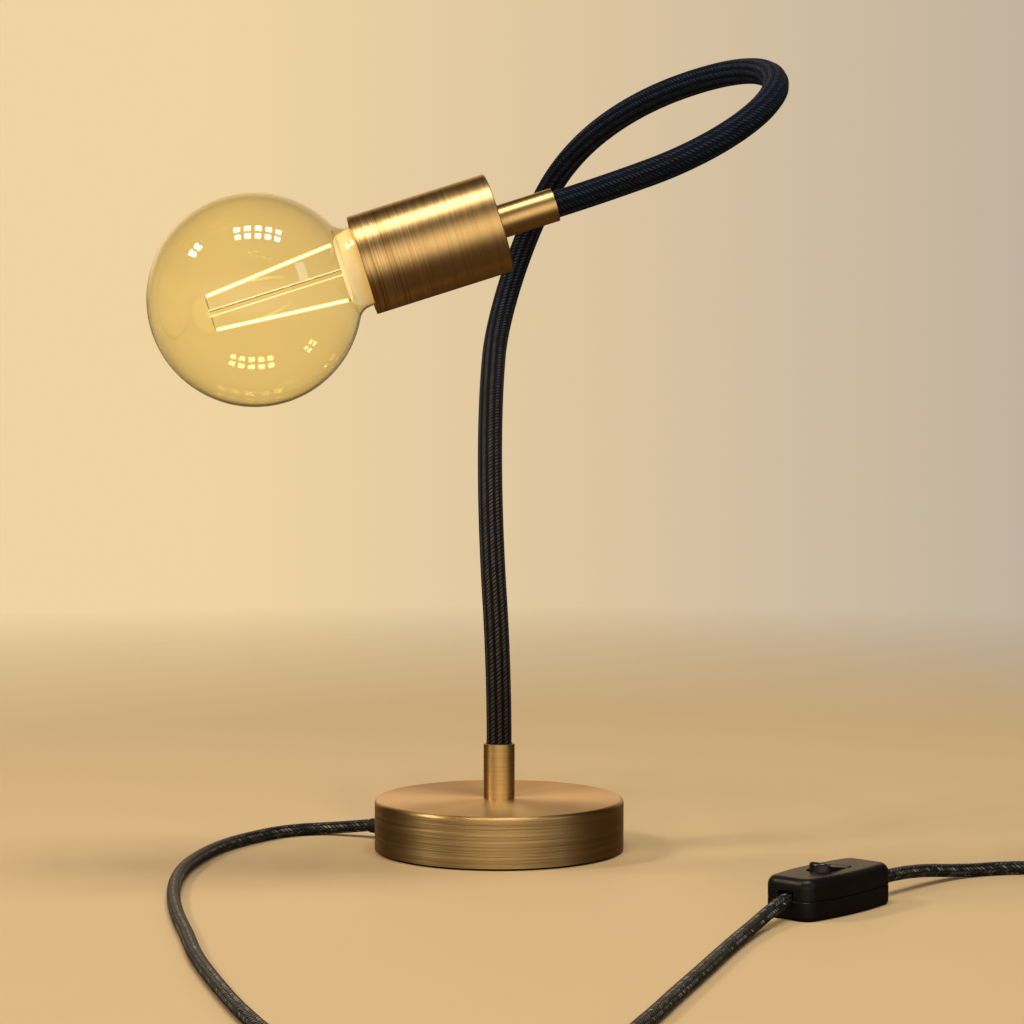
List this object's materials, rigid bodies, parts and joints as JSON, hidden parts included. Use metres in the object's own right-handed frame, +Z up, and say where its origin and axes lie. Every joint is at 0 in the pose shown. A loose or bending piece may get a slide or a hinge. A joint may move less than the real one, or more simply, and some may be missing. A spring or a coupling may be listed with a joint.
{
  "type": "adjustable table lamp",
  "caption": "Table lamp with a round brushed-brass base, a flexible textile-covered arm bent in a loop, a brass cylinder with a clear amber globe bulb, and a cord with switch.",
  "frame": {"origin": "centre of the base's underside, on the surface that the lamp stands on", "axes": "+Z up along the base's axis; -Y towards the viewer of the picture; +X to their right"},
  "size_m": [0.4985, 0.5695, 0.3774],
  "materials": {
    "brass_shell": "brushed, lacquered",
    "brass_ferrule": "turned, polished",
    "brass_cylinder": "brushed round, lacquered",
    "brass_tube": "turned, plain",
    "brass_contact": "pressed sheet",
    "ballast_iron": "as cast",
    "foam_pad": "matt foam",
    "zinc_steel": "zinc plated",
    "hose_steel": "bare wound steel",
    "core_insulation": "smooth",
    "sleeve_textile": "braided, matt",
    "cord_textile": "braided, flecked",
    "gland_rubber": "satin",
    "holder_phenolic": "moulded",
    "amber_glass": "clear, polished",
    "rod_glass": "clear",
    "filament": "lit",
    "lead_wire": "drawn wire",
    "collar_white": "smooth",
    "cap_black": "fused",
    "circuit_board": "lacquered",
    "switch_plastic": "fine spark texture",
    "rocker_plastic": "satin",
    "plug_plastic": "fine spark texture",
    "pin_nickel": "nickel plated"
  },
  "bodies": {
    "base": {"base_shell": "brass_shell", "base_ballast": "ballast_iron", "base_pad": "foam_pad", "stem_nipple": "brass_tube", "stem_nut": "zinc_steel", "lower_ferrule": "brass_ferrule", "cord_gland": "gland_rubber", "cord_grip": "zinc_steel", "grip_screw": "zinc_steel", "sleeve_0": "sleeve_textile", "hose_0": "hose_steel", "cores_0": "core_insulation", "switch_base": "switch_plastic", "switch_cover": "switch_plastic", "switch_terminals": "brass_contact", "switch_screws": "zinc_steel", "switch_clamps": "switch_plastic", "cord_lead": "cord_textile", "cord_tail": "cord_textile", "cord_coil": "cord_textile", "plug_body": "plug_plastic", "plug_pins": "pin_nickel"},
    "arm_1": {"sleeve_1": "sleeve_textile", "hose_1": "hose_steel", "cores_1": "core_insulation"},
    "arm_2": {"sleeve_2": "sleeve_textile", "hose_2": "hose_steel", "cores_2": "core_insulation"},
    "arm_3": {"sleeve_3": "sleeve_textile", "hose_3": "hose_steel", "cores_3": "core_insulation"},
    "arm_4": {"sleeve_4": "sleeve_textile", "hose_4": "hose_steel", "cores_4": "core_insulation"},
    "arm_5": {"sleeve_5": "sleeve_textile", "hose_5": "hose_steel", "cores_5": "core_insulation"},
    "head": {"sleeve_6": "sleeve_textile", "hose_6": "hose_steel", "cores_6": "core_insulation", "upper_ferrule": "brass_ferrule", "holder_cover": "brass_cylinder", "head_nipple": "brass_tube", "head_nut": "zinc_steel", "holder_body": "holder_phenolic", "contact_shell": "brass_contact", "centre_contact": "brass_contact", "side_contact": "brass_contact", "terminal_screws": "zinc_steel"},
    "bulb": {"bulb_glass": "amber_glass", "bulb_stem": "rod_glass", "bulb_filaments": "filament", "bulb_leads": "lead_wire", "bulb_collar": "collar_white", "bulb_cap": "brass_contact", "bulb_insulator": "cap_black", "bulb_contact": "zinc_steel", "bulb_driver": "circuit_board"},
    "rocker": {"switch_rocker": "rocker_plastic"},
    "lever": {"switch_lever": "brass_contact"}
  },
  "joints": [
    {"name": "flex_1", "type": "hinge", "parent": "base", "child": "arm_1", "pos_m": [-0.00218, 0.00946, 0.12059], "axis": [-0.9844, 0.1423, -0.1033], "range_deg": [-25, 25]},
    {"name": "flex_2", "type": "hinge", "parent": "arm_1", "child": "arm_2", "pos_m": [-0.00291, 0.08977, 0.23814], "axis": [0.3632, -0.5751, 0.7331], "range_deg": [-25, 25]},
    {"name": "flex_3", "type": "hinge", "parent": "arm_2", "child": "arm_3", "pos_m": [0.0263, 0.0909, 0.32367], "axis": [0.3155, 0.6173, 0.7207], "range_deg": [-25, 25]},
    {"name": "flex_4", "type": "hinge", "parent": "arm_3", "child": "arm_4", "pos_m": [0.09742, 0.00128, 0.3693], "axis": [-0.4552, -0.7309, -0.5085], "range_deg": [-25, 25]},
    {"name": "flex_5", "type": "hinge", "parent": "arm_4", "child": "arm_5", "pos_m": [0.12641, -0.05846, 0.3626], "axis": [-0.3955, -0.3183, 0.8615], "range_deg": [-25, 25]},
    {"name": "flex_6", "type": "hinge", "parent": "arm_5", "child": "head", "pos_m": [0.06758, -0.10104, 0.31986], "axis": [0.2755, 0.9613, -0.0089], "range_deg": [-25, 25]},
    {"name": "bulb_screw", "type": "slide", "parent": "head", "child": "bulb", "axis": [-0.9507, -0.069, -0.3023], "range_m": [0, 0.046]},
    {"name": "rocker_tilt", "type": "hinge", "parent": "base", "child": "rocker", "pos_m": [0.143, -0.152, 0.0125], "axis": [-0.7431, 0.6691, 0], "range_deg": [-20, 0]},
    {"name": "lever_tilt", "type": "hinge", "parent": "base", "child": "lever", "pos_m": [0.143, -0.152, 0.0072], "axis": [-0.7431, 0.6691, 0], "range_deg": [0, 20]}
  ],
  "couplings": [
    {"joint": "lever_tilt", "follows": "rocker_tilt", "ratio": -1}
  ]
}
